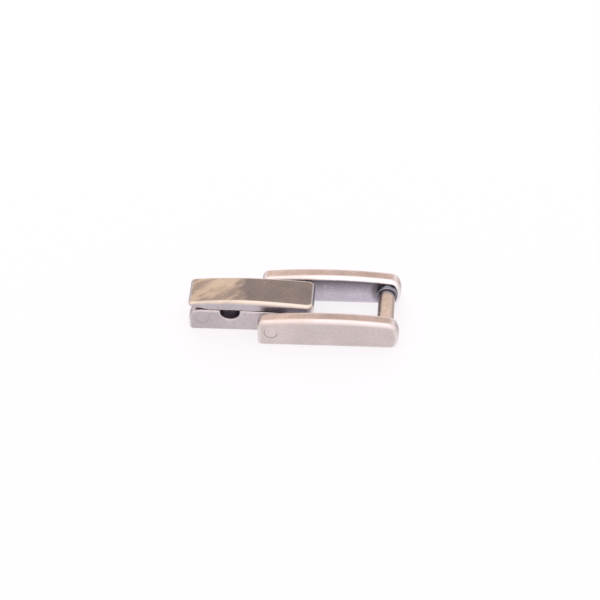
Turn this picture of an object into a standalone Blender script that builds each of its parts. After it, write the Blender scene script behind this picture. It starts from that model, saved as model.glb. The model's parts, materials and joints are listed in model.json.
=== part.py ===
"""Fold-over extension clasp for a bracelet, lying flat, in antiqued cast metal.

A short tongue takes the bracelet's ring in a half-round notch under a hinged cover. A frame of
two crowned rails, closed by a round bar, swings on a pivot pin through the tongue's other end.
Metres, +X from the tongue's tip to the bar, +Y from the front rail to the rear one, +Z up. The
origin is on the table, under the middle of the whole.
"""
import math

import bpy
import bmesh
from mathutils import Matrix, Vector

# Frame: two rails, mirror images of each other
FRAME_WIDTH = 0.01030
RAIL_THICKNESS = 0.00200
RAIL_LENGTH = 0.01768
RAIL_HEIGHT = 0.00412
RAIL_ARCH = 0.00056
RAIL_EDGE = 0.00044
RAIL_FOOT_EDGE = 0.00022
RAIL_NOSE_RADIUS = 0.00290
RAIL_NOSE_HEIGHT = 0.00165
RAIL_NOSE_CORNER = 0.00062
RAIL_HEEL_CORNER = 0.00085
RAIL_FOOT_CORNER = 0.00042

# Pivot pin: a shaft through the tongue, with heads riveted flush in the rails
PIVOT_FROM_HEEL = 0.00168
PIVOT_FROM_TOP = 0.00112
PIVOT_RADIUS = 0.00055
PIVOT_HEAD_LIP = 0.00024
PIVOT_HEAD_DEPTH = 0.00070

# End bar: blind in the front rail, shouldered and riveted flush in the rear one
BAR_FROM_NOSE = 0.00174
BAR_HEIGHT = 0.00186
BAR_RADIUS = 0.00105
BAR_COLLAR_LIP = 0.00027
BAR_COLLAR_LENGTH = 0.00058
BAR_COLLAR_FLARE = 0.00006
BAR_SHOULDER = 0.00035
BAR_SOCKET_FLOOR = 0.00080

# Tongue: a flat-bottomed block with a fork at its tip and a notch across its top
TONGUE_SIDE_GAP = 0.00056
TONGUE_HEIGHT = 0.00310
TONGUE_FALL = 0.00020
TONGUE_EARLY_FALL = 0.00007
TONGUE_EDGE = 0.00024
TONGUE_TIP_CORNER = 0.00140
TONGUE_FOOT_CORNER = 0.00030
TONGUE_BUTT = 0.00175
TONGUE_BUTT_CORNER = 0.00100
HINGE_TO_PIVOT = 0.00886
HINGE_TO_NOTCH = 0.00352
NOTCH_RADIUS = 0.00121
NOTCH_DEPTH = 0.00143
SLOT_WIDTH = 0.00260

# Hinge pin: a plain pin, flush with the tongue's two cheeks
HINGE_FROM_TIP = 0.00168
HINGE_FROM_TOP = 0.00120
HINGE_RADIUS = 0.00078

# Cover: a crowned plate with a knuckle that turns in the fork
COVER_LENGTH = 0.01572
COVER_OVERHANG = 0.00005
COVER_GAP = 0.00010
COVER_SETBACK = 0.00016
COVER_END_SETBACK = 0.00003
COVER_TIP_THICKNESS = 0.00098
COVER_CROWN_THICKNESS = 0.00140
COVER_CROWN_PLACE = 0.00723
COVER_END_DROP = 0.00040
COVER_END_THICKNESS = 0.00128
COVER_HOLLOW = 0.00028
COVER_HOLLOW_START = 0.00673
COVER_RELIEF = 0.00045
COVER_RELIEF_START = 0.00050
COVER_EDGE_RUN = 0.00026
COVER_EDGE_RUN_SWELL = 0.00009
COVER_EDGE_DROP = 0.00020
COVER_EDGE_DROP_SWELL = 0.00025
COVER_END_CORNER = 0.00080
COVER_END_EDGE = 0.00028
COVER_TIP_EDGE = 0.00016
COVER_FOOT_EDGE = 0.00008
KNUCKLE_WALL = 0.00047

# Fits, measured from surface to surface
PIN_CLEARANCE = 0.00004
SIDE_CLEARANCE = 0.00010
SLOT_END_CLEARANCE = 0.00025

# How far a cutting tool runs past the face that it opens
TOOL_PAST = 0.00050

# How finely the round shapes are drawn
CROWN_STEPS = 20
RELIEF_STEPS = 5
NOSE_STEPS = 8
CORNER_STEPS = 5
EDGE_STEPS = 3
NOTCH_STEPS = 16
PIN_SIDES = 32
SMOOTH_ANGLE = math.radians(32)

# Curves: s * (1 - s) ** 2 peaks a third of the way along, at one over the first number. Two are
# powers, from straight at 1 to round at 2: the cover's fall to its end, and the rounding of its
# top's long edges. The last makes the relief under the cover's tip rise steeply and level out
HOLLOW_PEAK = 6.75
FALL_POWER = 1.6
EDGE_POWER = 1.6
RELIEF_POWER = 0.5

# Sizes that follow from the ones above; both pins lie under the tongue's top
FRAME_FACE = FRAME_WIDTH / 2
FRAME_INSIDE = FRAME_FACE - RAIL_THICKNESS
TONGUE_FACE = FRAME_INSIDE - TONGUE_SIDE_GAP
KNUCKLE_RADIUS = HINGE_RADIUS + KNUCKLE_WALL
HINGE_HEIGHT = TONGUE_HEIGHT - HINGE_FROM_TOP
PIVOT_HEIGHT = TONGUE_HEIGHT - PIVOT_FROM_TOP

# Places along X, from the tongue's tip at zero
HINGE_X = HINGE_FROM_TIP
NOTCH_X = HINGE_X + HINGE_TO_NOTCH
PIVOT_X = HINGE_X + HINGE_TO_PIVOT
HEEL_X = PIVOT_X - PIVOT_FROM_HEEL
NOSE_X = HEEL_X + RAIL_LENGTH
BAR_X = NOSE_X - BAR_FROM_NOSE
BUTT_X = PIVOT_X + TONGUE_BUTT
COVER_X = -COVER_OVERHANG
COVER_END_X = COVER_X + COVER_LENGTH
RELIEF_X = HINGE_X + COVER_RELIEF_START
MIDDLE_X = (min(0.0, COVER_X) + max(NOSE_X, COVER_END_X)) / 2

# The cover's underside over the tongue
COVER_BASE = TONGUE_HEIGHT + COVER_GAP


def finish(name, color, roughness):
    """A plated metal of one colour."""
    material = bpy.data.materials.new(name)
    material.use_nodes = True
    shader = material.node_tree.nodes["Principled BSDF"]
    shader.inputs["Base Color"].default_value = (*color, 1.0)
    shader.inputs["Metallic"].default_value = 1.0
    shader.inputs["Roughness"].default_value = roughness
    material.diffuse_color = (*color, 1.0)
    return material


def spread(start, end, steps):
    """Evenly spaced values from start to end, both included."""
    return [start + (end - start) * i / steps for i in range(steps + 1)]


def rounded(corners):
    """The outline through (x, z, radius) corners, with an arc in place of each that has a radius."""
    points = []
    for i, (x, z, radius) in enumerate(corners):
        corner = Vector((x, z))
        if radius is None:
            points.append(corner)
            continue
        back = (Vector(corners[i - 1][:2]) - corner).normalized()
        on = (Vector(corners[(i + 1) % len(corners)][:2]) - corner).normalized()
        half = back.angle(on) / 2
        centre = corner + (back + on).normalized() * radius / math.sin(half)
        first = corner + back * radius / math.tan(half) - centre
        turn = math.copysign(math.pi - 2 * half, on.x * back.y - on.y * back.x)
        for k in range(CORNER_STEPS + 1):
            arm = Matrix.Rotation(turn * k / CORNER_STEPS, 2) @ first
            points.append(centre + arm)
    return points


def edge_profile(edge):
    """Steps (depth, inset) round a quarter-circle edge, from the side face inwards."""
    angles = spread(0, math.pi / 2, EDGE_STEPS)
    return [(edge * (1 - math.cos(a)), 1 - math.sin(a)) for a in angles]


def make(name, mesh_data, material):
    """An object from a finished bmesh, shaded smooth but for its corners."""
    bmesh.ops.recalc_face_normals(mesh_data, faces=mesh_data.faces)
    mesh = bpy.data.meshes.new(name)
    mesh_data.to_mesh(mesh)
    mesh_data.free()
    mesh.materials.append(material)
    mesh.shade_smooth()
    mesh.set_sharp_from_angle(angle=SMOOTH_ANGLE)
    piece = bpy.data.objects.new(name, mesh)
    bpy.context.scene.collection.objects.link(piece)
    return piece


def loft(name, rings, material):
    """A closed solid through rings of equally many points, capped at both ends."""
    solid = bmesh.new()
    rows = [[solid.verts.new(point) for point in ring] for ring in rings]
    for row, following in zip(rows, rows[1:]):
        for i in range(len(row)):
            j = (i + 1) % len(row)
            solid.faces.new((row[i], row[j], following[j], following[i]))
    solid.faces.new(rows[0][::-1])
    solid.faces.new(rows[-1])
    return make(name, solid, material)


def turned(name, stations, material):
    """A solid turned about a line along Y, through (y, radius) stations."""
    turns = [2 * math.pi * i / PIN_SIDES for i in range(PIN_SIDES)]
    rings = [[(r * math.sin(a), y, r * math.cos(a)) for a in turns] for y, r in stations]
    return loft(name, rings, material)


def block(name, low, high, material):
    """A box between two opposite corners."""
    corners = [(low[0], low[2]), (high[0], low[2]), (high[0], high[2]), (low[0], high[2])]
    rings = [[(x, y, z) for x, z in corners] for y in (low[1], high[1])]
    return loft(name, rings, material)


def combine(piece, tool, operation):
    """Cuts a tool out of a piece, or joins it on; the tool stays with the piece, out of the render."""
    tool.hide_render = True
    tool.display_type = 'WIRE'
    tool.parent = piece
    modifier = piece.modifiers.new(tool.name, 'BOOLEAN')
    modifier.operation = operation
    modifier.object = tool
    modifier.solver = 'EXACT'


def bore(piece, name, x, z, stations):
    """A turned hole through a piece, on a line along Y."""
    tool = turned(piece.name + name, stations, piece.active_material)
    tool.location = (x - MIDDLE_X, 0, z)
    combine(piece, tool, 'DIFFERENCE')


def carry(name, x, z, pieces):
    """An empty on a joint's axis, which carries the pieces that turn about it."""
    axis = bpy.data.objects.new(name, None)
    axis.location = (x - MIDDLE_X, 0, z)
    bpy.context.scene.collection.objects.link(axis)
    for piece in pieces:
        piece.parent = axis
        piece.matrix_parent_inverse = Matrix.Translation(axis.location).inverted()


def rail_outline(inset):
    """The rail's side view, drawn in by a share of its edge rounding."""
    side = RAIL_EDGE * inset
    foot = RAIL_FOOT_EDGE * inset
    middle = (HEEL_X + NOSE_X) / 2
    half = RAIL_LENGTH / 2

    def crown(x):
        return RAIL_HEIGHT - side - RAIL_ARCH * ((x - middle) / half) ** 2

    def nose(z):
        bulge = math.sqrt(RAIL_NOSE_RADIUS ** 2 - (z - RAIL_NOSE_HEIGHT) ** 2)
        return NOSE_X - side - RAIL_NOSE_RADIUS + bulge

    top = crown(NOSE_X - 2 * RAIL_NOSE_CORNER)
    shoulder = nose(top)
    heel = HEEL_X + side
    corners = [(heel, foot, RAIL_FOOT_CORNER), (nose(foot), foot, RAIL_FOOT_CORNER)]
    straight = spread(foot + RAIL_FOOT_CORNER, top - RAIL_NOSE_CORNER, NOSE_STEPS)
    corners += [(nose(z), z, None) for z in straight]
    corners += [(shoulder, top, RAIL_NOSE_CORNER)]
    corners += [(x, crown(x), None) for x in spread(shoulder, heel, CROWN_STEPS)[1:-1]]
    corners += [(heel, crown(heel), RAIL_HEEL_CORNER - side)]
    return rounded(corners)


def rail(name, side, material):
    """One rail, from its outer face to its inner one; side is -1 in front and 1 behind."""
    steps = edge_profile(RAIL_EDGE)
    places = [(side * (FRAME_FACE - depth), inset) for depth, inset in steps]
    places += [(side * (FRAME_INSIDE + depth), inset) for depth, inset in reversed(steps)]
    rings = [[(x - MIDDLE_X, y, z) for x, z in rail_outline(inset)] for y, inset in places]
    return loft(name, rings, material)


def build_frame(metal):
    """The two rails with their bores, the end bar and the pivot pin."""
    head = PIVOT_RADIUS + PIVOT_HEAD_LIP
    neck = FRAME_FACE - PIVOT_HEAD_DEPTH
    tenon = BAR_RADIUS - BAR_SHOULDER
    floor = FRAME_FACE - BAR_SOCKET_FLOOR
    front = rail("front_rail", -1, metal["rail"])
    rear = rail("rear_rail", 1, metal["rail"])

    for piece, side in ((front, -1), (rear, 1)):
        stations = [(side * (FRAME_INSIDE - TOOL_PAST), PIVOT_RADIUS + PIN_CLEARANCE)]
        stations += [(side * (neck - PIN_CLEARANCE), PIVOT_RADIUS + PIN_CLEARANCE)]
        stations += [(side * (neck - PIN_CLEARANCE), head + PIN_CLEARANCE)]
        stations += [(side * (FRAME_FACE + TOOL_PAST), head + PIN_CLEARANCE)]
        bore(piece, "_pivot_bore", PIVOT_X, PIVOT_HEIGHT, stations)
    for piece, side, end in ((front, -1, floor), (rear, 1, FRAME_FACE + TOOL_PAST)):
        stations = [(side * (FRAME_INSIDE - TOOL_PAST), tenon + PIN_CLEARANCE)]
        stations += [(side * end, tenon + PIN_CLEARANCE)]
        bore(piece, "_bar_bore", BAR_X, BAR_HEIGHT, stations)

    seat = FRAME_INSIDE - PIN_CLEARANCE
    collar = BAR_RADIUS + BAR_COLLAR_LIP
    stations = [(PIN_CLEARANCE - floor, tenon), (-seat, tenon), (-seat, BAR_RADIUS)]
    stations += [(seat - BAR_COLLAR_LENGTH - BAR_COLLAR_FLARE, BAR_RADIUS)]
    stations += [(seat - BAR_COLLAR_LENGTH, collar), (seat, collar), (seat, tenon), (FRAME_FACE, tenon)]
    bar = turned("end_bar", stations, metal["bar"])
    bar.location = (BAR_X - MIDDLE_X, 0, BAR_HEIGHT)

    stations = [(-FRAME_FACE, head), (-neck, head), (-neck, PIVOT_RADIUS)]
    stations += [(neck, PIVOT_RADIUS), (neck, head), (FRAME_FACE, head)]
    pin = turned("pivot_pin", stations, metal["pin"])
    pin.location = (PIVOT_X - MIDDLE_X, 0, PIVOT_HEIGHT)
    carry("frame_axis", PIVOT_X, PIVOT_HEIGHT, (front, rear, bar, pin))


def tongue_outline(inset):
    """The tongue's side view, with the notch in its top, drawn in by a share of its edge rounding."""
    side = TONGUE_EDGE * inset
    radius = NOTCH_RADIUS + side
    middle = TONGUE_HEIGHT - NOTCH_DEPTH + NOTCH_RADIUS
    fall_start = NOTCH_X + NOTCH_RADIUS
    top = TONGUE_HEIGHT - side
    butt_top = top - TONGUE_FALL
    dip = math.acos(max(-1.0, min(1.0, (top - middle) / radius)))
    corners = [(side, side, TONGUE_FOOT_CORNER), (BUTT_X - side, side, TONGUE_BUTT_CORNER)]
    corners += [(BUTT_X - side, butt_top, TONGUE_BUTT_CORNER)]
    corners += [(fall_start + NOTCH_RADIUS, top - TONGUE_EARLY_FALL, None)]
    for angle in spread(dip, 2 * math.pi - dip, NOTCH_STEPS):
        corners.append((NOTCH_X + radius * math.sin(angle), middle + radius * math.cos(angle), None))
    corners += [(side, top, TONGUE_TIP_CORNER - side)]
    return rounded(corners)


def build_tongue(metal):
    """The tongue, forked and bored, and the pin through its fork."""
    steps = edge_profile(TONGUE_EDGE)
    places = [(depth - TONGUE_FACE, inset) for depth, inset in steps]
    places += [(TONGUE_FACE - depth, inset) for depth, inset in reversed(steps)]
    rings = [[(x - MIDDLE_X, y, z) for x, z in tongue_outline(inset)] for y, inset in places]
    tongue = loft("tongue", rings, metal["tongue"])

    slot_end = HINGE_X + KNUCKLE_RADIUS + SLOT_END_CLEARANCE
    low = (-TOOL_PAST - MIDDLE_X, -SLOT_WIDTH / 2, -TOOL_PAST)
    high = (slot_end - MIDDLE_X, SLOT_WIDTH / 2, TONGUE_HEIGHT + TOOL_PAST)
    combine(tongue, block("tongue_slot", low, high, metal["tongue"]), 'DIFFERENCE')

    wide = TONGUE_FACE + TOOL_PAST
    hole = HINGE_RADIUS + PIN_CLEARANCE
    bore(tongue, "_hinge_bore", HINGE_X, HINGE_HEIGHT, [(-wide, hole), (wide, hole)])
    hole = PIVOT_RADIUS + PIN_CLEARANCE
    bore(tongue, "_pivot_bore", PIVOT_X, PIVOT_HEIGHT, [(-wide, hole), (wide, hole)])

    pin = turned("hinge_pin", [(-TONGUE_FACE, HINGE_RADIUS), (TONGUE_FACE, HINGE_RADIUS)], metal["pin"])
    pin.location = (HINGE_X - MIDDLE_X, 0, HINGE_HEIGHT)


def cover_crown(x):
    """Height of the cover's top along its middle."""
    crown_x = COVER_X + COVER_CROWN_PLACE
    crown = COVER_BASE + COVER_CROWN_THICKNESS
    if x < crown_x:
        drop = COVER_CROWN_THICKNESS - COVER_TIP_THICKNESS
        return crown - drop * ((crown_x - x) / COVER_CROWN_PLACE) ** 2
    return crown - COVER_END_DROP * ((x - crown_x) / (COVER_LENGTH - COVER_CROWN_PLACE)) ** FALL_POWER


def cover_underside(x):
    """Height of the cover's underside: relieved at the tip, flat, hollow, then down to the end's lip."""
    if x < RELIEF_X:
        return COVER_BASE + COVER_RELIEF * ((RELIEF_X - x) / (RELIEF_X - COVER_X)) ** RELIEF_POWER
    start = COVER_X + COVER_HOLLOW_START
    share = max(0.0, (x - start) / (COVER_END_X - start))
    lip = COVER_END_THICKNESS + COVER_END_DROP - COVER_CROWN_THICKNESS
    return COVER_BASE - lip * share + HOLLOW_PEAK * COVER_HOLLOW * share * (1 - share) ** 2


def cover_swell(x):
    """How far the edge rounding has grown: nothing at the ends, all of it at mid-length."""
    share = (x - COVER_X) / COVER_LENGTH
    return 4 * share * (1 - share)


def cover_ring(depth, side):
    """The cover's side view at a depth from its side face; side is -1 in front and 1 behind."""
    corner = max(0.0, COVER_END_CORNER - depth)
    end = COVER_END_X - COVER_END_CORNER + math.sqrt(COVER_END_CORNER ** 2 - corner ** 2)
    foot = COVER_FOOT_EDGE * max(0.0, 1 - depth / COVER_FOOT_EDGE)
    tip_corner = max(0.0, COVER_TIP_EDGE - depth)
    tip = COVER_X + COVER_TIP_EDGE - math.sqrt(COVER_TIP_EDGE ** 2 - tip_corner ** 2)

    def top(x):
        run = COVER_EDGE_RUN + COVER_EDGE_RUN_SWELL * cover_swell(x)
        drop = COVER_EDGE_DROP + COVER_EDGE_DROP_SWELL * cover_swell(x)
        share = max(0.0, 1 - depth / run)
        return cover_crown(x) - drop * (1 - (1 - share ** EDGE_POWER) ** (1 / EDGE_POWER))

    under = spread(tip, RELIEF_X, RELIEF_STEPS) + spread(RELIEF_X, end, CROWN_STEPS)[1:]
    corners = [(x, cover_underside(x) + foot, None) for x in under]
    corners += [(end, top(end), COVER_END_EDGE)]
    corners += [(x, top(x), None) for x in spread(end, tip, CROWN_STEPS)[1:-1]]
    corners += [(tip, top(tip), COVER_TIP_EDGE)]

    def across(x):
        share = min(1.0, max(0.0, (x - NOTCH_X) / (COVER_END_X - NOTCH_X)))
        return TONGUE_FACE - COVER_SETBACK + (COVER_SETBACK - COVER_END_SETBACK) * share - depth

    return [(x - MIDDLE_X, side * across(x), z) for x, z in rounded(corners)]


def build_cover(metal):
    """The cover's plate with its bored knuckle."""
    depths = [COVER_END_CORNER * (1 - math.cos(a)) for a in spread(0, math.pi / 2, 2 * EDGE_STEPS)]
    rings = [cover_ring(depth, -1) for depth in depths]
    rings += [cover_ring(depth, 1) for depth in reversed(depths)]
    cover = loft("cover", rings, metal["cover"])

    half = SLOT_WIDTH / 2 - SIDE_CLEARANCE
    shoulder = COVER_BASE + COVER_TIP_THICKNESS / 2
    outline = [(HINGE_X + KNUCKLE_RADIUS, shoulder), (HINGE_X - KNUCKLE_RADIUS, shoulder)]
    for angle in spread(math.pi, 2 * math.pi, PIN_SIDES // 2):
        x = HINGE_X + KNUCKLE_RADIUS * math.cos(angle)
        outline.append((x, HINGE_HEIGHT + KNUCKLE_RADIUS * math.sin(angle)))
    rings = [[(x - MIDDLE_X, y, z) for x, z in outline] for y in (-half, half)]
    combine(cover, loft("cover_knuckle", rings, metal["cover"]), 'UNION')

    wide = TONGUE_FACE + TOOL_PAST
    hole = HINGE_RADIUS + PIN_CLEARANCE
    bore(cover, "_hinge_bore", HINGE_X, HINGE_HEIGHT, [(-wide, hole), (wide, hole)])
    carry("cover_axis", HINGE_X, HINGE_HEIGHT, (cover,))


def main():
    for old in list(bpy.data.objects):
        bpy.data.objects.remove(old)
    metal = {
        "rail": finish("antiqued_rail_metal", (0.60, 0.50, 0.47), 0.42),
        "bar": finish("antiqued_bar_metal", (0.62, 0.52, 0.42), 0.35),
        "pin": finish("antiqued_pin_metal", (0.62, 0.54, 0.52), 0.38),
        "tongue": finish("antiqued_tongue_metal", (0.55, 0.49, 0.50), 0.45),
        "cover": finish("antiqued_cover_metal", (0.50, 0.42, 0.35), 0.40),
    }
    build_frame(metal)
    build_tongue(metal)
    build_cover(metal)


main()
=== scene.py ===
"""Fold-over extension clasp for a bracelet, in antiqued plated castings.

The sections follow the clasp as it is put together: the tongue, its hinge pin, the cover, the two
rails, the pivot pin and the end bar, and then the table, the light and the camera. Metres, with +X
from the tongue's tip to the end bar, +Y from the front rail to the rear one, and +Z up.
"""
import json
import math

import bmesh
import bpy
from mathutils import Matrix, Vector


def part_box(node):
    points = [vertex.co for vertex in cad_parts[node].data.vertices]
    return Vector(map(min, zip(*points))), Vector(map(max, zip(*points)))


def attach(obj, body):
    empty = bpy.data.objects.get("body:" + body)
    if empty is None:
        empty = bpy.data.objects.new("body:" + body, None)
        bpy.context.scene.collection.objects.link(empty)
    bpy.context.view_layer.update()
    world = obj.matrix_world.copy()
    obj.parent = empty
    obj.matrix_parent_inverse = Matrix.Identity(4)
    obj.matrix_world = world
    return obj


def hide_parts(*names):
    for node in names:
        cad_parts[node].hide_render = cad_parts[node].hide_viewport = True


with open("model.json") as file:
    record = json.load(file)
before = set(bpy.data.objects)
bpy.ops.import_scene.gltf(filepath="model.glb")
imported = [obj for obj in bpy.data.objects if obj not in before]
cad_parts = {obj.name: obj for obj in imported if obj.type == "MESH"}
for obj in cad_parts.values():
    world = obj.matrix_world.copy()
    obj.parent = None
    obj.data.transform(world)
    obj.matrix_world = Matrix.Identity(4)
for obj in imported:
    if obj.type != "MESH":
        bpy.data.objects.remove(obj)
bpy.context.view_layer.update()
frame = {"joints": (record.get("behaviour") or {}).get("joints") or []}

# Tongue
#
# The tongue is a small zinc casting with a forked tip and a half-round notch for the bracelet's
# ring. It is barrel tumbled, plated, darkened in a bath and rubbed back, which leaves soft grey
# faces, pale edges and near-black hollows. Its pale edges are partly painted highlight, and the
# dark in its notch is painted shade from the cover over it.
TONGUE_TIP_CORNER = 0.0014
TONGUE_BUTT_CORNER = 0.0010
TONGUE_FOOT_CORNER = 0.0005
TONGUE_EDGE = 0.00030
TONGUE_FOOT_EDGE = 0.00010
TONGUE_FOOT_ENDS = 0.0008
TONGUE_FALL = 0.00020
TONGUE_EARLY_FALL = 0.00003
NOTCH_FROM_HINGE = 0.00352
NOTCH_RADIUS = 0.00121
NOTCH_DEPTH = 0.00143
NOTCH_SHADE_SHARE = 0.93
SLOT_WIDTH = 0.0026
SLOT_PAST_HINGE = 0.0015
HINGE_BORE = 0.00082
PIVOT_BORE = 0.00059
TONGUE_SHARP = math.radians(25)
TURNED_SIDES = 64
SMOOTH_UP_TO = math.radians(35)
# A cutting tool reaches PAST what it cuts, and points that are NEAR a plane count as on it.
PAST = 0.0005
NEAR = 0.00001
MERGED = 0.000001

joint_places = {joint["name"]: Vector(joint["pos_m"]) for joint in frame["joints"]}
hinge, pivot = joint_places["cover_hinge"], joint_places["frame_pivot"]


def put_cube(name, low, high):
    """Adds a cube between two corners, with its place in its mesh, and opens it for editing."""
    bpy.ops.object.select_all(action='DESELECT')
    middle = [(a + b) / 2 for a, b in zip(low, high)]
    size = [b - a for a, b in zip(low, high)]
    bpy.ops.mesh.primitive_cube_add(size=1, location=middle, scale=size)
    bpy.ops.object.transform_apply()
    piece = bpy.context.object
    piece.name = piece.data.name = name
    bpy.ops.object.mode_set(mode='EDIT')
    return piece


def put_turned(name, x, z, stations):
    """Turns a round piece on a line along Y: a disc is extruded and resized through (y, radius)."""
    bpy.ops.object.select_all(action='DESELECT')
    y, radius = stations[0]
    bpy.ops.mesh.primitive_circle_add(vertices=TURNED_SIDES, radius=radius, fill_type='NGON',
                                      location=(x, y, z), rotation=(math.pi / 2, 0, 0))
    bpy.ops.object.transform_apply()
    piece = bpy.context.object
    piece.name = piece.data.name = name
    bpy.ops.object.mode_set(mode='EDIT')
    bpy.ops.mesh.select_all(action='SELECT')
    for further, wider in stations[1:]:
        bpy.ops.mesh.extrude_region_move(TRANSFORM_OT_translate={"value": (0, further - y, 0)})
        grow = wider / radius
        bpy.ops.transform.resize(value=(grow, 1, grow), center_override=(x, further, z))
        y, radius = further, wider
    bpy.ops.mesh.select_all(action='SELECT')
    bpy.ops.mesh.normals_make_consistent(inside=False)
    bpy.ops.object.mode_set(mode='OBJECT')
    return piece


def round_off(radius, steps, test):
    """Rounds the edges, of the piece being edited, whose two ends both pass a test."""
    mesh = bpy.context.edit_object.data
    bpy.ops.mesh.select_mode(type='EDGE')
    bpy.ops.mesh.select_all(action='DESELECT')
    cage = bmesh.from_edit_mesh(mesh)
    for edge in cage.edges:
        if all(test(end.co) for end in edge.verts):
            edge.select_set(True)
    bmesh.update_edit_mesh(mesh)
    bpy.ops.mesh.bevel(offset=radius, offset_type='OFFSET', segments=steps, affect='EDGES')


def slice_up(axis, places):
    """Cuts the piece being edited into slices across an axis, with nothing taken away."""
    normal = [0, 0, 0]
    normal[axis] = 1
    for place in places:
        point = [0, 0, 0]
        point[axis] = place
        bpy.ops.mesh.select_all(action='SELECT')
        bpy.ops.mesh.bisect(plane_co=point, plane_no=normal)


def spread(start, end, steps):
    """Evenly spaced places between start and end, with neither of them."""
    return [start + (end - start) * i / steps for i in range(1, steps)]


def apply_all(piece):
    """Applies a piece's modifiers in their order."""
    bpy.ops.object.select_all(action='DESELECT')
    piece.select_set(True)
    bpy.context.view_layer.objects.active = piece
    for modifier in list(piece.modifiers):
        bpy.ops.object.modifier_apply(modifier=modifier.name)


def push_lattice(piece, columns, levels, place, rows=2):
    """Shapes a piece with a lattice round it, each of whose points is pushed to place(x, y, z)."""
    bpy.ops.object.mode_set(mode='OBJECT')
    points = [v.co for v in piece.data.vertices]
    low = Vector([min(p[i] for p in points) for i in range(3)])
    high = Vector([max(p[i] for p in points) for i in range(3)])
    bpy.ops.object.select_all(action='DESELECT')
    bpy.ops.object.add(type='LATTICE', location=(low + high) / 2)
    cage = bpy.context.object
    cage.scale = high - low
    cage.data.points_u = columns
    cage.data.points_v = rows
    cage.data.points_w = levels
    cage.data.interpolation_type_u = 'KEY_LINEAR'
    cage.data.interpolation_type_v = 'KEY_LINEAR'
    cage.data.interpolation_type_w = 'KEY_LINEAR'
    bpy.context.view_layer.update()
    inwards = cage.matrix_world.inverted()
    for point in cage.data.points:
        rest = cage.matrix_world @ point.co
        point.co_deform = inwards @ Vector(place(*rest))
    piece.modifiers.new("lattice", 'LATTICE').object = cage
    apply_all(piece)
    bpy.data.objects.remove(cage)


def low_foot(z, edge, foot, above):
    """The height z once the rounding at the foot is squeezed from edge down to foot."""
    if z < edge:
        return z * foot / edge
    return z + (foot - edge) * max(0.0, above - z) / (above - edge)


def combine(piece, tool, operation='DIFFERENCE'):
    """Cuts a tool out of a piece, or joins it on, and removes the tool."""
    modifier = piece.modifiers.new("combine", 'BOOLEAN')
    modifier.operation = operation
    modifier.object = tool
    modifier.solver = 'EXACT'
    apply_all(piece)
    bpy.data.objects.remove(tool)


def ease_edges(piece, width, steps, weight):
    """Rounds the edges to which weight(edge) gives more than nothing, by that share of the width."""
    bpy.ops.object.mode_set(mode='OBJECT')
    cage = bmesh.new()
    cage.from_mesh(piece.data)
    share = cage.edges.layers.float.new("bevel_weight_edge")
    for edge in cage.edges:
        edge[share] = weight(edge)
    cage.to_mesh(piece.data)
    cage.free()
    modifier = piece.modifiers.new("ease", 'BEVEL')
    modifier.limit_method = 'WEIGHT'
    modifier.width = width
    modifier.segments = steps
    modifier.use_clamp_overlap = False
    apply_all(piece)
    piece.data.attributes.remove(piece.data.attributes["bevel_weight_edge"])


def shade(piece, material):
    """Closes and smooths a finished piece, keeps its flat faces flat, and gives it its finish."""
    bpy.ops.object.select_all(action='DESELECT')
    piece.select_set(True)
    bpy.context.view_layer.objects.active = piece
    bpy.ops.object.mode_set(mode='EDIT')
    bpy.ops.mesh.select_all(action='SELECT')
    bpy.ops.mesh.remove_doubles(threshold=MERGED)
    bpy.ops.mesh.normals_make_consistent(inside=False)
    bpy.ops.object.mode_set(mode='OBJECT')
    bpy.ops.object.shade_smooth_by_angle(angle=SMOOTH_UP_TO)
    weigh = piece.modifiers.new("weigh", 'WEIGHTED_NORMAL')
    weigh.keep_sharp = True
    apply_all(piece)
    piece.data.materials.clear()
    piece.data.materials.append(material)


def linear(code):
    """The linear colour of an sRGB hex value."""
    parts = [int(code[i:i + 2], 16) / 255 for i in (0, 2, 4)]
    return (*[p / 12.92 if p <= 0.04045 else ((p + 0.055) / 1.055) ** 2.4 for p in parts], 1)


def add(tree, kind, inputs=None, **settings):
    """Adds a node to a tree, with its settings, and with a value or a link for each input named."""
    made = tree.nodes.new(kind)
    for name, value in settings.items():
        setattr(made, name, value)
    for socket, source in (inputs or {}).items():
        if isinstance(source, bpy.types.Node):
            source = next(out for out in source.outputs if out.enabled)
        if isinstance(source, bpy.types.NodeSocket):
            tree.links.new(source, made.inputs[socket])
        else:
            made.inputs[socket].default_value = source
    return made


# How many spots of each pattern lie along a millimetre. The bath leaves broad shadows and clouds.
# Rubbing leaves streaks, and the tumbling barrel leaves mottle, scores and grit. Real scores and
# grit are finer than a pixel, so they are drawn as coarse as they need to show.
SHADOWS_PER_MM = 0.19
CLOUDS_PER_MM = 0.6
STREAKS_PER_MM = 0.9
MOTTLE_PER_MM = 2.9
SCORES_PER_MM = 3.2
GRIT_PER_MM = 9.0
# The streaks and scores lie aslant, and are drawn out along their own length.
RUBBED_TURN = (0, 0, 0.62)
RUBBED_STRETCH = (2.5, 0.8, 0.8)
SCORED_TURN = (0, 0, 0.75)
SCORED_STRETCH = (8, 0.5, 0.5)
# The part in the wear colours ends raggedly, and one streak across it is drawn brightest.
ACROSS_STREAK = (0.58, -0.81, 0)
STREAK_REACH = 0.0016
RAGGED_BY_CLOUDS = 0.002
RAGGED_BY_STREAKS = 0.003
RAGGED_MEAN = (RAGGED_BY_CLOUDS + RAGGED_BY_STREAKS) / 2
# A point's Y times its normal's Y is below nothing on faces that look towards the clasp's middle.
INWARD_FROM = -0.001
INWARD_FULL = -0.003
SHADE_BAND_FOOT = 0.0015
SHADE_BAND_TOP = 0.0037
BACK_FROM = 0.001
SEAT_RAGGED = 0.0008
SEAT_FADE = 0.0004
CREVICE_REACH = 0.0009
RELIEF_HEIGHT = 0.00002


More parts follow.
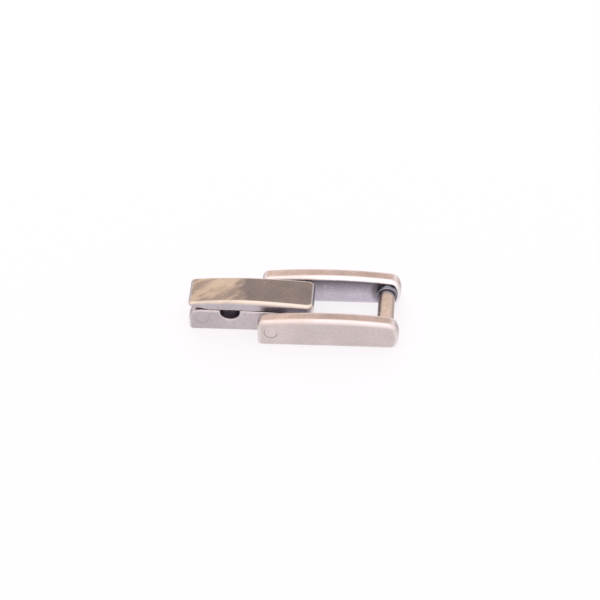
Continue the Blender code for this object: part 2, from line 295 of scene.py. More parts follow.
def antiqued(name, metal, film, stain, bright, dark, gloss=0.34, ends=0.3, inner=None, wear=None,
             black=None, seat=None):
    """Antiqued plating: grey metal, a warm film on level faces, and pale edges and dark corners.

    The rounded edges along a piece's two side faces are painted pale, partly as rubbing and partly as
    painted highlight, and paler still where they face sideways or down, which is painted light; ends is
    the share of painted shade on faces that look along X. An inner colour, which is painted light, goes
    to the faces that look at each other across the clasp, with painted highlight on their edges and a
    dark stripe of painted shade along their tops, mostly at the back. A wear tuple holds the two colours
    that the film turns to towards the tip, where along X that is full and where it ends, and a place that
    the brightest streak crosses. A black tuple holds the axis, the middle, the half-width, the half-width
    of its full part and the colour of a dark stretch of painted shade, which on a bar is also the bath's
    black left there, and its share on faces that look along Y. A seat tuple holds the place in X
    and Z, and the radius, of a dark ring round what is pressed into the inner face.
    """
    material = bpy.data.materials.new(name)
    material.use_nodes = True
    tree = material.node_tree
    shader = tree.nodes["Principled BSDF"]
    spot = add(tree, "ShaderNodeTexCoord")
    place = spot.outputs["Object"]
    where = add(tree, "ShaderNodeSeparateXYZ", {0: place})
    way = add(tree, "ShaderNodeSeparateXYZ", {0: spot.outputs["Normal"]})

    clouds = add(tree, "ShaderNodeTexNoise", {"Vector": place, "Scale": 1000 * CLOUDS_PER_MM, "Detail": 4})
    mottle = add(tree, "ShaderNodeTexNoise", {"Vector": place, "Scale": 1000 * MOTTLE_PER_MM, "Detail": 3})
    grit = add(tree, "ShaderNodeTexNoise", {"Vector": place, "Scale": 1000 * GRIT_PER_MM, "Detail": 2})
    rubbed = add(tree, "ShaderNodeMapping", {0: place, "Rotation": RUBBED_TURN, "Scale": RUBBED_STRETCH},
                 vector_type='TEXTURE')
    streaks = add(tree, "ShaderNodeTexNoise",
                  {"Vector": rubbed, "Scale": 1000 * STREAKS_PER_MM, "Detail": 4})
    scored = add(tree, "ShaderNodeMapping", {0: place, "Rotation": SCORED_TURN, "Scale": SCORED_STRETCH},
                 vector_type='TEXTURE')
    scores = add(tree, "ShaderNodeTexNoise", {"Vector": scored, "Scale": 1000 * SCORES_PER_MM, "Detail": 2})

    level = add(tree, "ShaderNodeMath", {0: way.outputs["Z"]}, operation='ABSOLUTE')
    filmed = add(tree, "ShaderNodeMapRange", {0: level, 1: 0.80, 2: 0.985},
                 interpolation_type='SMOOTHSTEP')
    patchy = add(tree, "ShaderNodeMapRange", {0: clouds, 1: 0.35, 2: 0.65, 3: 0.0, 4: 1.0})
    tarnish = add(tree, "ShaderNodeMix", {"Factor": patchy, "A": film, "B": stain}, data_type='RGBA')
    if wear:
        gold, brown, full, none, crossed = wear
        beside = add(tree, "ShaderNodeVectorMath", {0: place, 1: crossed}, operation='SUBTRACT')
        beside = add(tree, "ShaderNodeVectorMath", {0: beside, 1: ACROSS_STREAK}, operation='DOT_PRODUCT')
        beside = add(tree, "ShaderNodeMath", {0: beside.outputs["Value"]}, operation='ABSOLUTE')
        beside = add(tree, "ShaderNodeMapRange", {0: beside, 1: 0.0, 2: STREAK_REACH, 3: -0.10, 4: 0.06})
        blotchy = add(tree, "ShaderNodeMath", {0: streaks, 1: beside})
        blotchy = add(tree, "ShaderNodeMapRange", {0: blotchy, 1: 0.38, 2: 0.66},
                      interpolation_type='SMOOTHSTEP')
        gilt = add(tree, "ShaderNodeMix", {"Factor": blotchy, "A": gold, "B": brown}, data_type='RGBA')
        ragged = add(tree, "ShaderNodeMath", {0: clouds, 1: RAGGED_BY_CLOUDS, 2: where.outputs["X"]},
                     operation='MULTIPLY_ADD')
        ragged = add(tree, "ShaderNodeMath", {0: streaks, 1: RAGGED_BY_STREAKS, 2: ragged},
                     operation='MULTIPLY_ADD')
        share = add(tree, "ShaderNodeMapRange",
                    {0: ragged, 1: full + RAGGED_MEAN, 2: none + RAGGED_MEAN, 3: 1, 4: 0},
                    interpolation_type='SMOOTHSTEP')
        tarnish = add(tree, "ShaderNodeMix", {"Factor": share, "A": tarnish, "B": gilt}, data_type='RGBA')
    colour = add(tree, "ShaderNodeMix", {"Factor": filmed, "A": metal, "B": tarnish}, data_type='RGBA')

    # Painted light: faces that look at each other across the clasp get a lighter, bluer colour for the
    # light that reaches them.
    if inner:
        facing = add(tree, "ShaderNodeMath", {0: where.outputs["Y"], 1: way.outputs["Y"]},
                     operation='MULTIPLY')
        inward = add(tree, "ShaderNodeMapRange", {0: facing, 1: INWARD_FROM, 2: INWARD_FULL})
        colour = add(tree, "ShaderNodeMix", {"Factor": inward, "A": colour, "B": inner}, data_type='RGBA')
        # Painted shade: a dark stripe along the tops of the inward faces, stronger at the back.
        top_shade_band = add(tree, "ShaderNodeMapRange",
                   {0: where.outputs["Z"], 1: SHADE_BAND_FOOT, 2: SHADE_BAND_TOP, 3: 0.0, 4: 0.8})
        behind = add(tree, "ShaderNodeMapRange", {0: where.outputs["Y"], 2: BACK_FROM, 3: 0.3, 4: 1.0})
        top_shade_band = add(tree, "ShaderNodeMath", {0: top_shade_band, 1: behind}, operation='MULTIPLY')
        top_shade_band = add(tree, "ShaderNodeMath", {0: top_shade_band, 1: inward}, operation='MULTIPLY')
        colour = add(tree, "ShaderNodeMix", {"Factor": top_shade_band, "A": colour, "B": dark}, data_type='RGBA')
    if seat:
        seat_x, seat_z, radius = seat
        flat = add(tree, "ShaderNodeCombineXYZ", {0: where.outputs["X"], 2: where.outputs["Z"]})
        reach = add(tree, "ShaderNodeVectorMath", {0: flat, 1: (seat_x, 0, seat_z)}, operation='DISTANCE')
        reach = add(tree, "ShaderNodeMath", {0: clouds, 1: SEAT_RAGGED, 2: reach.outputs["Value"]},
                    operation='MULTIPLY_ADD')
        ring = add(tree, "ShaderNodeMapRange",
                   {0: reach, 1: radius + SEAT_FADE, 2: 0.8 * radius, 3: 0.0, 4: 0.6},
                   interpolation_type='SMOOTHSTEP')
        ring = add(tree, "ShaderNodeMath", {0: ring, 1: inward}, operation='MULTIPLY')
        colour = add(tree, "ShaderNodeMix", {"Factor": ring, "A": colour, "B": dark}, data_type='RGBA')

    shadows = add(tree, "ShaderNodeTexNoise",
                  {"Vector": place, "Scale": 1000 * SHADOWS_PER_MM, "Detail": 2})
    shadows = add(tree, "ShaderNodeMapRange", {0: shadows, 1: 0.40, 2: 0.60, 3: 0.0, 4: 0.10})
    colour = add(tree, "ShaderNodeMix", {"Factor": shadows, "A": colour, "B": dark}, data_type='RGBA')
    flecks = add(tree, "ShaderNodeMapRange", {0: mottle, 1: 0.45, 2: 0.75, 3: 0.0, 4: 0.14})
    colour = add(tree, "ShaderNodeMix", {"Factor": flecks, "A": colour, "B": dark}, data_type='RGBA')
    hairs = add(tree, "ShaderNodeMapRange", {0: scores, 1: 0.60, 2: 0.72, 3: 0.0, 4: 0.16})
    colour = add(tree, "ShaderNodeMix", {"Factor": hairs, "A": colour, "B": bright}, data_type='RGBA')
    # Painted shade: faces that look along X, and partly up, are darkened by the ends share.
    endwise_shade = add(tree, "ShaderNodeMath", {0: way.outputs["X"]}, operation='ABSOLUTE')
    endwise_shade = add(tree, "ShaderNodeMapRange", {0: endwise_shade, 1: 0.25, 2: 0.85, 3: 0.0, 4: ends})
    lifted = add(tree, "ShaderNodeMapRange", {0: way.outputs["Z"], 1: 0.0, 2: 0.3})
    endwise_shade = add(tree, "ShaderNodeMath", {0: endwise_shade, 1: lifted}, operation='MULTIPLY')
    colour = add(tree, "ShaderNodeMix", {"Factor": endwise_shade, "A": colour, "B": dark}, data_type='RGBA')

    # Painted highlight and wear: the rounded rims are painted pale, partly for rubbing and partly as
    # painted highlight.
    across = add(tree, "ShaderNodeMath", {0: way.outputs["Y"], 1: way.outputs["Y"]}, operation='MULTIPLY')
    along = add(tree, "ShaderNodeMath", {0: 1.0, 1: across}, operation='SUBTRACT')
    slant = add(tree, "ShaderNodeMath", {0: across, 1: along}, operation='MULTIPLY')
    rim = add(tree, "ShaderNodeMapRange", {0: slant, 1: 0.005, 2: 0.08})
    rubbing = add(tree, "ShaderNodeMapRange", {0: mottle, 1: 0.30, 2: 0.60, 3: 0.8, 4: 1.0})
    rim_wear_and_highlight = add(tree, "ShaderNodeMath", {0: rim, 1: rubbing}, operation='MULTIPLY')
    # Painted shade: the black stretch darkens where shade falls, as in the tongue's notch under the cover;
    # at the bar's collar it is also the bath's black. The rims' paint is dimmed there.
    if black:
        axis, centre, reach, full, bath, facewise = black
        offset = add(tree, "ShaderNodeMath", {0: where.outputs[axis], 1: centre}, operation='SUBTRACT')
        offset = add(tree, "ShaderNodeMath", {0: offset}, operation='ABSOLUTE')
        stretch = add(tree, "ShaderNodeMapRange", {0: offset, 1: reach, 2: full})
        black_and_painted_shade = add(tree, "ShaderNodeMapRange", {0: along, 3: facewise})
        black_and_painted_shade = add(tree, "ShaderNodeMath", {0: black_and_painted_shade, 1: stretch}, operation='MULTIPLY')
        colour = add(tree, "ShaderNodeMix", {"Factor": black_and_painted_shade, "A": colour, "B": bath}, data_type='RGBA')
        spared = add(tree, "ShaderNodeMapRange", {0: stretch, 3: 1.0, 4: 1.0 - 0.8 * facewise})
        rim_wear_and_highlight = add(tree, "ShaderNodeMath", {0: rim_wear_and_highlight, 1: spared}, operation='MULTIPLY')
    # Painted highlight: the rims of the inward faces are painted nearer white.
    if inner:
        inner_rim_highlight = add(tree, "ShaderNodeMath", {0: inward, 1: 0.5}, operation='MULTIPLY')
        bright = add(tree, "ShaderNodeMix", {"Factor": inner_rim_highlight, "A": bright, "B": linear("FFFFFF")},
                     data_type='RGBA')
    if wear:
        tint = add(tree, "ShaderNodeMath", {0: share, 1: 0.4}, operation='MULTIPLY')
        bright = add(tree, "ShaderNodeMix", {"Factor": tint, "A": bright, "B": gilt}, data_type='RGBA')
    # Painted light: rims that face sideways or down are painted paler still.
    painted_low_rim_light = add(tree, "ShaderNodeMapRange", {0: way.outputs["Z"], 1: 0.0, 2: 0.4, 3: 0.4, 4: 0.0})
    paler = add(tree, "ShaderNodeMix", {"Factor": painted_low_rim_light, "A": bright, "B": linear("FFFFFF")},
                data_type='RGBA')
    colour = add(tree, "ShaderNodeMix", {"Factor": rim_wear_and_highlight, "A": colour, "B": paler}, data_type='RGBA')

    sky = add(tree, "ShaderNodeAmbientOcclusion", {"Distance": CREVICE_REACH}, samples=8, only_local=True)
    shut = add(tree, "ShaderNodeMapRange", {0: sky.outputs["AO"], 1: 0.50, 2: 0.08})
    colour = add(tree, "ShaderNodeMix", {"Factor": shut, "A": colour, "B": dark}, data_type='RGBA')

    rough = add(tree, "ShaderNodeMapRange", {0: mottle, 1: 0.3, 2: 0.7, 3: gloss - 0.05, 4: gloss + 0.08})
    relief = add(tree, "ShaderNodeMath", {0: scores, 1: 0.5, 2: grit}, operation='MULTIPLY_ADD')
    bump = add(tree, "ShaderNodeBump", {"Height": relief, "Strength": 0.2, "Distance": RELIEF_HEIGHT})
    tree.links.new(colour.outputs["Result"], shader.inputs["Base Color"])
    tree.links.new(rough.outputs[0], shader.inputs["Roughness"])
    tree.links.new(bump.outputs[0], shader.inputs["Normal"])
    shader.inputs["Metallic"].default_value = 1.0
    return material


tongue_low, tongue_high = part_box("tongue")
top = tongue_high.z
tongue = put_cube("tongue_casting", tongue_low, tongue_high)
round_off(TONGUE_TIP_CORNER, 8, lambda p: p.x < tongue_low.x + NEAR and p.z > top - NEAR)
round_off(TONGUE_FOOT_CORNER, 4, lambda p: p.x < tongue_low.x + NEAR and p.z < NEAR)
round_off(TONGUE_BUTT_CORNER, 8, lambda p: p.x > tongue_high.x - NEAR and p.z > top - NEAR)
round_off(TONGUE_BUTT_CORNER, 8, lambda p: p.x > tongue_high.x - NEAR and p.z < NEAR)
notch_x = hinge.x + NOTCH_FROM_HINGE
notch_end = notch_x + NOTCH_RADIUS
slice_up(0, spread(notch_end, tongue_high.x - TONGUE_BUTT_CORNER, 8))


def tongue_top(x, y, z):
    """The top falls away from the notch to the butt, quickly at first."""
    early = min(1.0, max(0.0, (x - notch_end) / NOTCH_RADIUS))
    late = min(1.0, max(0.0, (x - notch_end - NOTCH_RADIUS) / (tongue_high.x - notch_end - NOTCH_RADIUS)))
    fall = TONGUE_EARLY_FALL * early + (TONGUE_FALL - TONGUE_EARLY_FALL) * late
    return x, y, z - fall * z / top


push_lattice(tongue, columns=61, levels=2, place=tongue_top)
notch_z = top - NOTCH_DEPTH + NOTCH_RADIUS
wide = tongue_high.y + PAST
combine(tongue, put_turned("notch", notch_x, notch_z, [(-wide, NOTCH_RADIUS), (wide, NOTCH_RADIUS)]))


def tongue_edge(edge):
    """Both side faces' outlines, with the notch's."""
    a, b = (v.co for v in edge.verts)
    return 1 if abs(a.y - b.y) < NEAR and edge.calc_face_angle(0) > TONGUE_SHARP else 0


ease_edges(tongue, TONGUE_EDGE, steps=6, weight=tongue_edge)


def tongue_foot(x, y, z):
    """The smaller rounding along the foot."""
    return x, y, low_foot(z, TONGUE_EDGE, TONGUE_FOOT_EDGE, TONGUE_FOOT_ENDS)


push_lattice(tongue, columns=2, levels=63, place=tongue_foot)
slot_low = (tongue_low.x - PAST, -SLOT_WIDTH / 2, -PAST)
slot_high = (hinge.x + SLOT_PAST_HINGE, SLOT_WIDTH / 2, top + PAST)
slot = put_cube("slot", slot_low, slot_high)
bpy.ops.object.mode_set(mode='OBJECT')
combine(tongue, slot)
combine(tongue, put_turned("bore", hinge.x, hinge.z, [(-wide, HINGE_BORE), (wide, HINGE_BORE)]))
combine(tongue, put_turned("bore", pivot.x, pivot.z, [(-wide, PIVOT_BORE), (wide, PIVOT_BORE)]))

# Silver plate on a tumbled casting: soft grey faces, pale edges that are partly painted highlight,
# and painted shade in the notch under the cover.
tongue_plating = antiqued("antiqued_silver_on_tongue", linear("C3BABD"), linear("A39590"),
                          linear("9A8C87"), linear("AAA0A1"), linear("2A2830"), ends=0.45,
                          black=("X", notch_x, NOTCH_RADIUS, NOTCH_SHADE_SHARE * NOTCH_RADIUS,
                                 linear("827A8E"), 0))
shade(tongue, tongue_plating)
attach(tongue, "tongue")
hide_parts("tongue")

# Hinge pin
#
# A plain pin of drawn brass wire is pressed through the tongue's two cheeks, filed flush and plated
# with them. Pressing swelled it until it filled its holes, so only a hair line round it shows.
HINGE_PIN_RADIUS = 0.000815
PIN_EDGE = 0.00002

face = tongue_high.y
stations = [(-face, HINGE_PIN_RADIUS - PIN_EDGE), (PIN_EDGE - face, HINGE_PIN_RADIUS)]
stations += [(face - PIN_EDGE, HINGE_PIN_RADIUS), (face, HINGE_PIN_RADIUS - PIN_EDGE)]
hinge_pin = put_turned("hinge_pin_rod", hinge.x, hinge.z, stations)
shade(hinge_pin, tongue_plating)
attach(hinge_pin, "tongue")
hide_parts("hinge_pin")

# Cover
#
# The cover is a second casting, a crowned plate with a knuckle that turns on the hinge pin in the
# fork. Its underside is hollowed towards the free end. The film on its top is painted brown, and
# gold over the tip.
COVER_GAP = 0.00003
COVER_PROUD = 0.0001
COVER_HALF_WIDTH = 0.00243
COVER_END_HALF_WIDTH = 0.00256
COVER_TIP_THICKNESS = 0.00098
COVER_CROWN_PLACE = 0.00723
COVER_END_DROP = 0.0005
COVER_END_THICKNESS = 0.0013
COVER_HOLLOW = 0.00012
COVER_HOLLOW_START = 0.0080
COVER_TOP_EDGE_SHARE = 0.34
COVER_EDGE_LEAST = 0.6
COVER_EDGE_MORE = 0.5
COVER_DROP_POWER = 1.6
COVER_RELIEF = 0.00045
COVER_RELIEF_START = 0.0005
COVER_TOP_EDGE = 0.00046
COVER_TIP_CORNER = 0.00052
COVER_END_CORNER = 0.0009
COVER_FOOT_EDGE = 0.00008
KNUCKLE_RADIUS = 0.00125
KNUCKLE_HALF_WIDTH = 0.0012
COVER_GOLD_UP_TO = -0.0082
COVER_GOLD_GONE = -0.0058
COVER_STREAK_X = -0.01065
COVER_FOLLOWS = 5
# The curve share * (1 - share) ** 2 peaks at 1 / HOLLOW_PEAK.
HOLLOW_PEAK = 6.75

cover_low, cover_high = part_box("cover")
# The photo's cover reaches a little past the solid's end.
cover_high = cover_high + Vector((COVER_PROUD, 0, 0))
base, crown = top + COVER_GAP, cover_high.z
length = cover_high.x - cover_low.x
plate_low = (cover_low.x, -COVER_HALF_WIDTH, base)
plate_high = (cover_high.x, COVER_HALF_WIDTH, crown)
cover = put_cube("cover_casting", plate_low, plate_high)
round_off(COVER_END_CORNER, 8, lambda p: p.x > cover_high.x - NEAR and p.y > 0)
round_off(COVER_END_CORNER, 8, lambda p: p.x > cover_high.x - NEAR and p.y < 0)
round_off(COVER_TIP_CORNER, 5, lambda p: p.x < cover_low.x + NEAR and p.y > 0)
round_off(COVER_TIP_CORNER, 5, lambda p: p.x < cover_low.x + NEAR and p.y < 0)


def cover_edge(edge):
    """The whole rounding along the top's rim, and a small share of it along the foot."""
    a, b = (v.co for v in edge.verts)
    if abs(a.z - b.z) > NEAR:
        return 0
    return 1 if a.z > crown - NEAR else COVER_FOOT_EDGE / COVER_TOP_EDGE


ease_edges(cover, COVER_TOP_EDGE, steps=6, weight=cover_edge)
bpy.ops.object.mode_set(mode='EDIT')
relief_x = hinge.x + COVER_RELIEF_START
slice_up(0, spread(cover_low.x + COVER_TIP_CORNER, relief_x, 9))
slice_up(0, spread(relief_x, cover_high.x - COVER_END_CORNER, 30))
edge_zone = COVER_TOP_EDGE_SHARE * (crown - base)


def cover_shape(x, y, z):
    """The crown, the relieved and hollowed underside, the width and the rounding, deepest half-way."""
    crown_x = cover_low.x + COVER_CROWN_PLACE
    if x < crown_x:
        drop = (crown - base - COVER_TIP_THICKNESS) * ((crown_x - x) / COVER_CROWN_PLACE) ** 2
    else:
        drop = COVER_END_DROP * (max(0.0, x - crown_x) / (length - COVER_CROWN_PLACE)) ** COVER_DROP_POWER
    start = cover_low.x + COVER_HOLLOW_START
    share = min(1.0, max(0.0, (x - start) / (cover_high.x - start)))
    lip = COVER_END_THICKNESS + COVER_END_DROP - (crown - base)
    foot = base - lip * share + HOLLOW_PEAK * COVER_HOLLOW * share * (1 - share) ** 2
    foot -= (top - tongue_top(x, y, top)[2]) * max(0.0, 1 - COVER_FOLLOWS * share)
    if x < relief_x:
        foot += COVER_RELIEF * math.sqrt((relief_x - x) / (relief_x - cover_low.x))
    roof = crown - drop
    along = min(1.0, max(0.0, (x - cover_low.x) / length))
    deeper = COVER_EDGE_LEAST + COVER_EDGE_MORE * math.sin(math.pi * min(0.5, along))
    edge = roof - edge_zone * deeper
    if z > crown - edge_zone:
        height = roof - (crown - z) * deeper
    else:
        height = foot + (edge - foot) * (z - base) / (crown - edge_zone - base)
    widen = min(1.0, max(0.0, (x - notch_x) / (cover_high.x - notch_x)))
    side = 1 + (COVER_END_HALF_WIDTH / COVER_HALF_WIDTH - 1) * widen
    return x, y * side, height


push_lattice(cover, columns=81, levels=5, place=cover_shape)
neck = put_cube("neck", (hinge.x - KNUCKLE_RADIUS, -KNUCKLE_HALF_WIDTH, hinge.z),
                (hinge.x + KNUCKLE_RADIUS, KNUCKLE_HALF_WIDTH, base + COVER_TIP_THICKNESS / 2))
bpy.ops.object.mode_set(mode='OBJECT')
barrel = put_turned("barrel", hinge.x, hinge.z,
                    [(-KNUCKLE_HALF_WIDTH, KNUCKLE_RADIUS), (KNUCKLE_HALF_WIDTH, KNUCKLE_RADIUS)])
combine(neck, barrel, 'UNION')
combine(cover, neck, 'UNION')
combine(cover, put_turned("bore", hinge.x, hinge.z, [(-wide, HINGE_BORE), (wide, HINGE_BORE)]))

# A brown bath film over brass plate: dull brown, gold at the tip, with a pale rim that is partly
# painted highlight, and painted shade on faces that look along X.
cover_plating = antiqued("antiqued_brass_on_cover", linear("C0B9BD"), linear("776A62"),
                         linear("70645F"), linear("C0B2A6"), linear("2A2428"), gloss=0.30, ends=0.55,
                         wear=(linear("B09B86"), linear("8E7D70"), COVER_GOLD_UP_TO, COVER_GOLD_GONE,
                               (COVER_STREAK_X, 0, 0)))
shade(cover, cover_plating)
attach(cover, "cover")
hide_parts("cover")

# Rails
#
# Two castings that mirror each other make the frame's sides. Each has a straight foot, a crowned
# top and a blunt rounded nose. The tumbling barrel has rounded their top edges most.
RAIL_ARCH = 0.00056
RAIL_EDGE = 0.00052
RAIL_CROWN = 0.0001
RAIL_FOOT_EDGE = 0.00012
RAIL_FOOT_ENDS = 0.0012
RAIL_HEEL_CORNER = 0.00085
RAIL_NOSE_CORNER = 0.00062
RAIL_FOOT_CORNER = 0.0006
RAIL_NOSE_RADIUS = 0.0029
RAIL_NOSE_HEIGHT = 0.00165
RAIL_NOSE_PROUD = 0.00005
RAIL_BULGE_START = 0.0062
RAIL_BULGE_LENGTH = 0.0056
RAIL_ARCH_FROM = 0.3
RAIL_ARCH_OVER = 0.45
PIVOT_HEAD_BORE = 0.00083
PIVOT_HEAD_DEPTH = 0.0007
PIN_GAP = 0.00004
BAR_FROM_NOSE = 0.00174
BAR_HEIGHT = 0.00186
TENON_RADIUS = 0.0007
SOCKET_FLOOR = 0.0008
RAIL_RUBBED_UP_TO = 0.0005
RAIL_RUBBED_GONE = 0.0045
SEAT_RADIUS = 0.0025
NICK_SIDES = 24
RAIL_NICK_OUT = 0.00003
RAIL_NICKS = ((0.0037, 0.00266, 0.00010), (0.00446, 0.00252, 0.00008), (0.0079, 0.0021, 0.00009))

rail_low, rail_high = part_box("front_rail")
rail_top = rail_high.z
outside, inside = -rail_low.y, -rail_high.y
bar_x = rail_high.x - BAR_FROM_NOSE
nose_x = rail_high.x + RAIL_NOSE_PROUD
front_rail = put_cube("front_rail_casting", rail_low, (nose_x, rail_high.y, rail_top))
round_off(RAIL_HEEL_CORNER, 8, lambda p: p.x < rail_low.x + NEAR and p.z > rail_top - NEAR)
round_off(RAIL_FOOT_CORNER, 6, lambda p: p.x < rail_low.x + NEAR and p.z < NEAR)
round_off(RAIL_NOSE_CORNER, 6, lambda p: p.x > nose_x - NEAR and p.z > rail_top - NEAR)
round_off(RAIL_FOOT_CORNER, 6, lambda p: p.x > nose_x - NEAR and p.z < NEAR)


def rail_edge(edge):
    """Both side faces' outlines, all the way round."""
    a, b = (v.co for v in edge.verts)
    return 1 if abs(a.y - b.y) < NEAR else 0


ease_edges(front_rail, RAIL_EDGE, steps=8, weight=rail_edge)
bpy.ops.object.mode_set(mode='EDIT')
slice_up(0, spread(rail_low.x + RAIL_HEEL_CORNER, nose_x - RAIL_NOSE_CORNER, 28))
slice_up(1, spread(RAIL_EDGE - outside, -inside - RAIL_EDGE, 6))
slice_up(2, [RAIL_EDGE, *spread(RAIL_FOOT_CORNER, rail_top - RAIL_HEEL_CORNER, 8)])


def rail_arch(x):
    """How far the top lies below its highest point."""
    half = (rail_high.x - rail_low.x) / 2
    return RAIL_ARCH * ((x - rail_low.x - half) / half) ** 2


def rail_shape(x, y, z):
    """The smaller rounding at the foot, the top's arch both ways, and the nose's bulge."""
    z = low_foot(z, RAIL_EDGE, RAIL_FOOT_EDGE, RAIL_FOOT_ENDS)
    rise = min(1.0, max(0.0, (z / rail_top - RAIL_ARCH_FROM) / RAIL_ARCH_OVER))
    height = z - rail_arch(x) * rise - RAIL_NOSE_HEIGHT
    bulge = RAIL_NOSE_RADIUS - math.sqrt(RAIL_NOSE_RADIUS ** 2 - height ** 2)
    x -= bulge * min(1.0, max(0.0, (x - nose_x + RAIL_BULGE_START) / RAIL_BULGE_LENGTH))
    crown = RAIL_CROWN * (((2 * y + inside + outside) / (outside - inside)) ** 2 - 0.5)
    return x, y, z - (rail_arch(x) + crown) * rise


push_lattice(front_rail, columns=61, levels=41, place=rail_shape, rows=13)
bpy.ops.object.select_all(action='DESELECT')
front_rail.select_set(True)
bpy.context.view_layer.objects.active = front_rail
bpy.ops.object.duplicate()
rear_rail = bpy.context.object
rear_rail.name = rear_rail.data.name = "rear_rail_casting"
bpy.ops.object.mode_set(mode='EDIT')
bpy.ops.mesh.select_all(action='SELECT')
bpy.ops.transform.resize(value=(1, -1, 1), center_override=(0, 0, 0))
bpy.ops.mesh.normals_make_consistent(inside=False)
bpy.ops.object.mode_set(mode='OBJECT')

counterbore = outside - PIVOT_HEAD_DEPTH - PIN_GAP
tenon_bore = TENON_RADIUS + PIN_GAP
for rail, side, floor in ((front_rail, -1, outside - SOCKET_FLOOR), (rear_rail, 1, outside + PAST)):
    stations = [(side * (inside - PAST), PIVOT_BORE), (side * counterbore, PIVOT_BORE)]
    stations += [(side * counterbore, PIVOT_HEAD_BORE), (side * (outside + PAST), PIVOT_HEAD_BORE)]
    combine(rail, put_turned("pivot_bore", pivot.x, pivot.z, stations))
    stations = [(side * (inside - PAST), tenon_bore), (side * floor, tenon_bore)]
    combine(rail, put_turned("bar_bore", bar_x, BAR_HEIGHT, stations))


def nick(piece, place, size):
    """Presses a small round dent into a piece."""
    bpy.ops.object.select_all(action='DESELECT')
    bpy.ops.mesh.primitive_uv_sphere_add(segments=NICK_SIDES, ring_count=NICK_SIDES // 2, radius=size,
                                         location=place)
    bpy.ops.object.transform_apply()
    combine(piece, bpy.context.object)


for x, z, size in RAIL_NICKS:
    nick(rear_rail, (x, inside - RAIL_NICK_OUT, z), size)

# Silver plate under a thin brown film: grey flanks, warm tops and rims painted nearly white, partly
# for rubbing and partly as painted highlight. The inner faces get a lighter, bluer colour as painted
# light, with painted highlight on their rims and a stripe of painted shade along their tops.
rail_plating = antiqued("antiqued_silver_on_rails", linear("D4C8C6"), linear("A9958A"),
                        linear("9C897F"), linear("C6BAB7"), linear("2A1C18"), inner=linear("CBC4D1"),
                        wear=(linear("B5A092"), linear("AA968A"), RAIL_RUBBED_UP_TO,
                              RAIL_RUBBED_GONE, (0, 0, 0)),
                        seat=(bar_x, BAR_HEIGHT, SEAT_RADIUS))
for rail, node in ((front_rail, "front_rail"), (rear_rail, "rear_rail")):
    shade(rail, rail_plating)
    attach(rail, "frame")
    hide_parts(node)

# Pivot pin
#
# A rivet of drawn brass wire runs through both rails and the tongue between them. Its two heads
# are spread in shallow counterbores and filed flush. They sit hard up against the tops of these,
# so a dark line shows only round their lower halves.
PIVOT_RADIUS = 0.00055
PIVOT_HEAD_RADIUS = 0.0008
PIVOT_LIFT = 0.00002

shoulder = outside - PIVOT_HEAD_DEPTH
stations = [(-outside, PIVOT_HEAD_RADIUS - PIN_EDGE), (PIN_EDGE - outside, PIVOT_HEAD_RADIUS)]
stations += [(-shoulder, PIVOT_HEAD_RADIUS), (-shoulder, PIVOT_RADIUS)]
stations += [(shoulder, PIVOT_RADIUS), (shoulder, PIVOT_HEAD_RADIUS)]
stations += [(outside - PIN_EDGE, PIVOT_HEAD_RADIUS), (outside, PIVOT_HEAD_RADIUS - PIN_EDGE)]
pivot_pin = put_turned("pivot_pin_rivet", pivot.x, pivot.z + PIVOT_LIFT, stations)
# Silver plate on filed brass: flat discs, a shade paler than the rails round them.
pin_plating = antiqued("antiqued_silver_on_pins", linear("D8CCCB"), linear("A28F81"),
                       linear("968377"), linear("C9BEBC"), linear("241F28"))
shade(pivot_pin, pin_plating)
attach(pivot_pin, "frame")
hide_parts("pivot_pin")

# End bar
#
# The bar that the bracelet hangs on is turned from brass rod. Its collar seats on the rear rail, a
# thin tenon goes through that rail and another one into the front rail's blind socket.
BAR_RADIUS = 0.00105
BAR_COLLAR_RADIUS = 0.00132
BAR_COLLAR_LENGTH = 0.00058
BAR_FLARE = 0.00006
BAR_EASE = 0.00005
BAR_BLACK_AND_SHADE_REACH = 0.00125
BAR_BLACK_AND_SHADE_FULL = 0.0004
BAR_NICK_BACK = 0.00012
BAR_NICK_Y = -0.0008
BAR_NICK_OUT = 0.00004
BAR_NICK_SIZE = 0.00012

seat = inside - PIN_GAP
stations = [(SOCKET_FLOOR + PIN_GAP - outside, TENON_RADIUS), (-seat, TENON_RADIUS)]
stations += [(-seat, BAR_RADIUS - BAR_EASE), (BAR_EASE - seat, BAR_RADIUS)]
stations += [(seat - BAR_COLLAR_LENGTH - BAR_FLARE, BAR_RADIUS)]
stations += [(seat - BAR_COLLAR_LENGTH - BAR_EASE, BAR_COLLAR_RADIUS - BAR_EASE)]
stations += [(seat - BAR_COLLAR_LENGTH, BAR_COLLAR_RADIUS), (seat - BAR_EASE, BAR_COLLAR_RADIUS)]
stations += [(seat, BAR_COLLAR_RADIUS - BAR_EASE), (seat, TENON_RADIUS)]
stations += [(outside - BAR_EASE, TENON_RADIUS), (outside, TENON_RADIUS - BAR_EASE)]
end_bar = put_turned("end_bar_rod", bar_x, BAR_HEIGHT, stations)
# Plated brass rod: a warm rubbed bar, dark round its collar, partly with the bath's black and partly
# with painted shade, and with painted shade on its sides.
bar_plating = antiqued("antiqued_brass_on_bar", linear("C2AFA0"), linear("B8A494"),
                       linear("AB9788"), linear("C4B7AA"), linear("4A363C"), gloss=0.28, ends=0.38,
                       black=("Y", seat - BAR_COLLAR_LENGTH / 2, BAR_BLACK_AND_SHADE_REACH, BAR_BLACK_AND_SHADE_FULL,
                              linear("75747C"), 1))
nick(end_bar, (bar_x - BAR_NICK_BACK, BAR_NICK_Y, BAR_HEIGHT + BAR_RADIUS + BAR_NICK_OUT),
     BAR_NICK_SIZE)
shade(end_bar, bar_plating)
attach(end_bar, "frame")
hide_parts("end_bar")

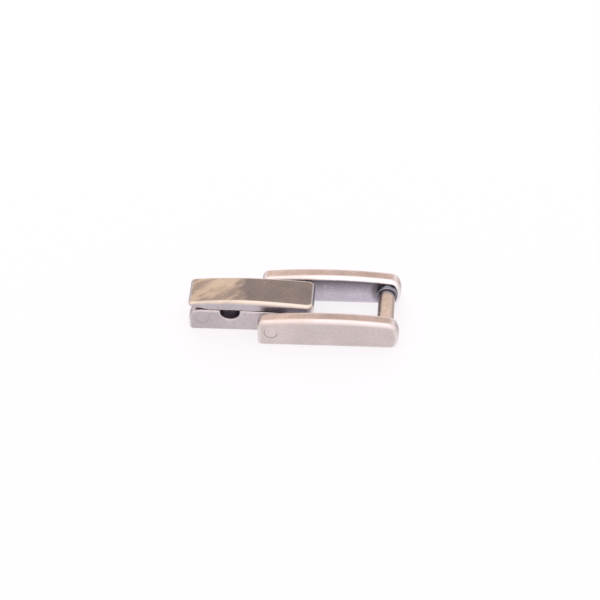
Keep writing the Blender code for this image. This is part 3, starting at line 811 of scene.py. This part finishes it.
# Table
#
# A sheet of white opal acrylic lies under the clasp, lit from below as well as from above, so that
# hardly a shadow shows round the feet.
TABLE_SIZE = 3
TABLE_ROUGHNESS = 0.6
TABLE_GLOW = 0.82

bpy.ops.object.select_all(action='DESELECT')
bpy.ops.mesh.primitive_plane_add(size=TABLE_SIZE)
table = bpy.context.object
table.name = "light_table"
# Opal acrylic: an even white that glows a little and hardly shines.
acrylic = bpy.data.materials.new("opal_acrylic")
acrylic.use_nodes = True
sheet = acrylic.node_tree.nodes["Principled BSDF"]
sheet.inputs["Base Color"].default_value = linear("525152")
sheet.inputs["Roughness"].default_value = TABLE_ROUGHNESS
sheet.inputs["Emission Color"].default_value = linear("FEFAFC")
sheet.inputs["Emission Strength"].default_value = TABLE_GLOW
table.data.materials.append(acrylic)

# Light and camera
#
# One wide soft box stands above and in front, and the room's pale walls fill in the rest.
KEY_SIZE = 1.1
KEY_PLACE = Vector((-0.05, -0.20, 0.74))
KEY_POWER = 1.6
ROOM_LIGHT = 1.72

bpy.ops.object.light_add(type='AREA', location=KEY_PLACE)
key = bpy.context.object
key.name = "soft_box"
key.rotation_euler = (-KEY_PLACE).to_track_quat('-Z', 'Y').to_euler()
key.data.shape = 'SQUARE'
key.data.size = KEY_SIZE
key.data.energy = KEY_POWER
key.data.color = linear("FFFCFA")[:3]

room = bpy.data.worlds.new("pale_room")
room.use_nodes = True
room.node_tree.nodes["Background"].inputs["Color"].default_value = linear("FCF8FA")
room.node_tree.nodes["Background"].inputs["Strength"].default_value = ROOM_LIGHT
bpy.context.scene.world = room

CAMERA_TURN = math.radians(4.990)
CAMERA_RISE = math.radians(41.914)
CAMERA_ROLL = math.radians(1.705)
CAMERA_DISTANCE = 0.33324
CAMERA_AIM = Vector((0.000376, 0.003364, 0))
CAMERA_LENS = 155.88
CAMERA_SENSOR = 36
CAMERA_NEAREST = 0.001

right = Vector((math.cos(CAMERA_TURN), math.sin(CAMERA_TURN), 0))
away = Vector((-math.cos(CAMERA_RISE) * math.sin(CAMERA_TURN),
               math.cos(CAMERA_RISE) * math.cos(CAMERA_TURN), -math.sin(CAMERA_RISE)))
upright = right.cross(away)
bpy.ops.object.camera_add()
camera = bpy.context.object
camera.data.lens = CAMERA_LENS
camera.data.sensor_width = CAMERA_SENSOR
camera.data.clip_start = CAMERA_NEAREST
across = right * math.cos(CAMERA_ROLL) - upright * math.sin(CAMERA_ROLL)
above = right * math.sin(CAMERA_ROLL) + upright * math.cos(CAMERA_ROLL)
turned = Matrix((across, above, -away)).transposed().to_4x4()
camera.matrix_world = Matrix.Translation(CAMERA_AIM - away * CAMERA_DISTANCE) @ turned
bpy.context.scene.camera = camera
bpy.context.scene.view_settings.view_transform = 'Standard'
